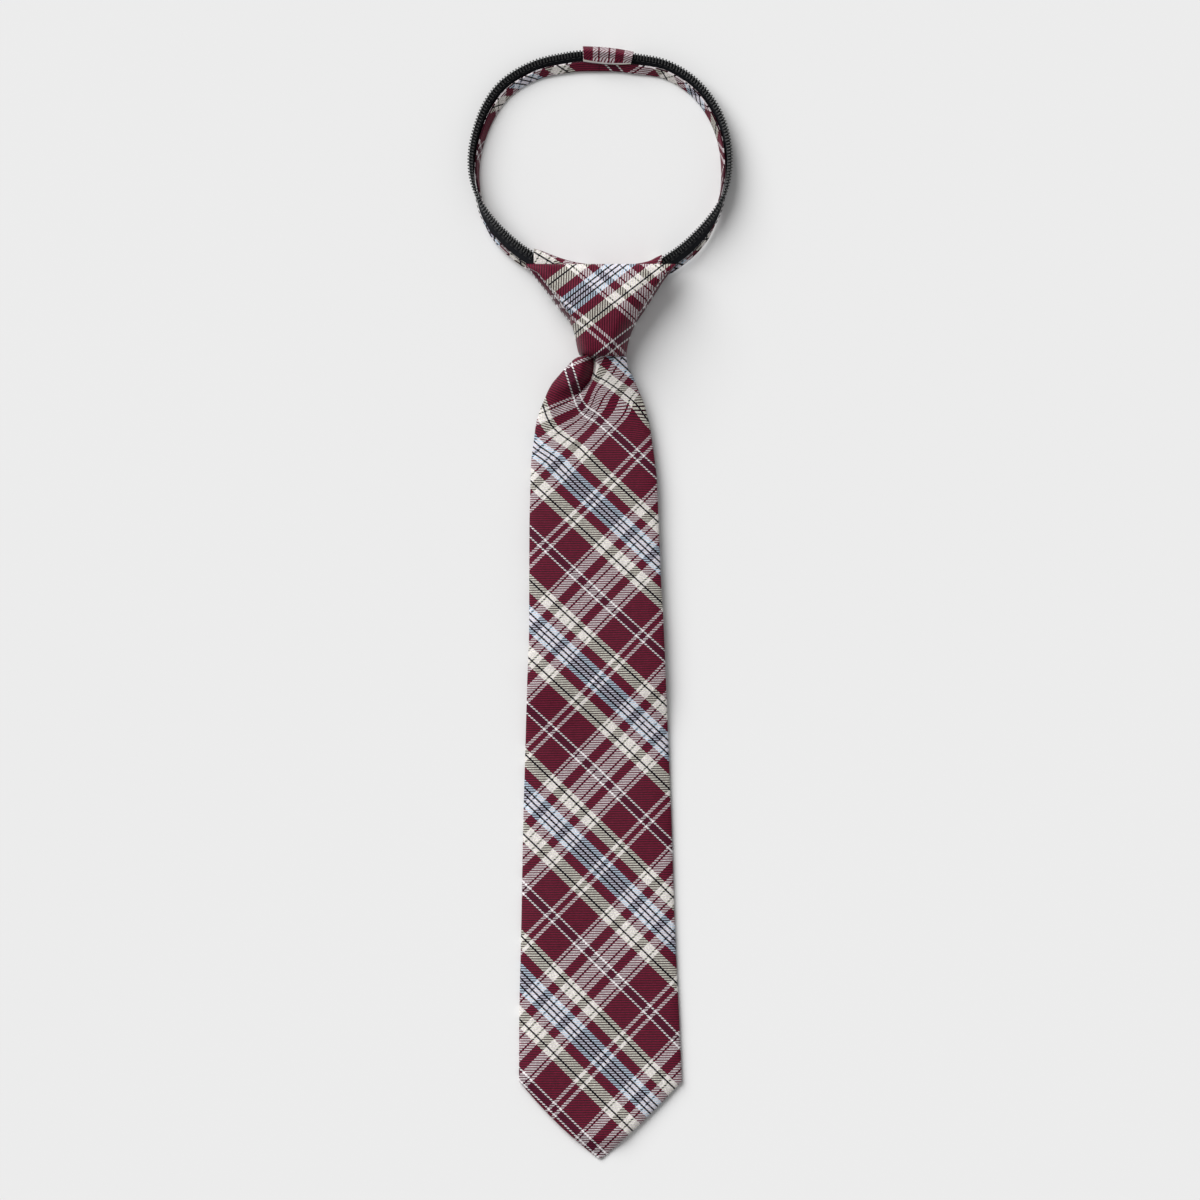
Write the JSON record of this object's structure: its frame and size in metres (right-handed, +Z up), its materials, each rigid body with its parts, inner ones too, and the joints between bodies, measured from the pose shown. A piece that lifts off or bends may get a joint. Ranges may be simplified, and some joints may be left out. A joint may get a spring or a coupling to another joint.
{
  "type": "zipper tie",
  "caption": "Boys' ready-tied necktie in plaid twill, with a knot, a pointed blade and a neck loop made of a zipper bound in plaid.",
  "frame": {"origin": "under the middle of the whole tie, on the surface that it lies on", "axes": "+Z up from the surface, out of the tie's front; +Y from the blade's point to the neck loop; +X to the right as seen from the front"},
  "size_m": [0.1054, 0.4466, 0.0181],
  "materials": {
    "plaid_twill": "woven twill with a soft sheen, plaid of cream, pale blue, white and black on burgundy",
    "zipper_tape": "black woven tape",
    "nylon_coil": "black nylon monofilament, satin",
    "slider_enamel": "black enamel, satin"
  },
  "bodies": {
    "root": {"blade": "plaid_twill", "knot_front": "plaid_twill", "knot_back": "plaid_twill", "back_tab": "plaid_twill", "plaid_strip_left": "plaid_twill", "plaid_strip_right": "plaid_twill", "zipper_tape_left": "zipper_tape", "zipper_tape_right": "zipper_tape", "zipper_coil_left": "nylon_coil", "zipper_coil_right": "nylon_coil", "closed_coil": "nylon_coil", "zipper_slider": "slider_enamel"}
  },
  "joints": []
}
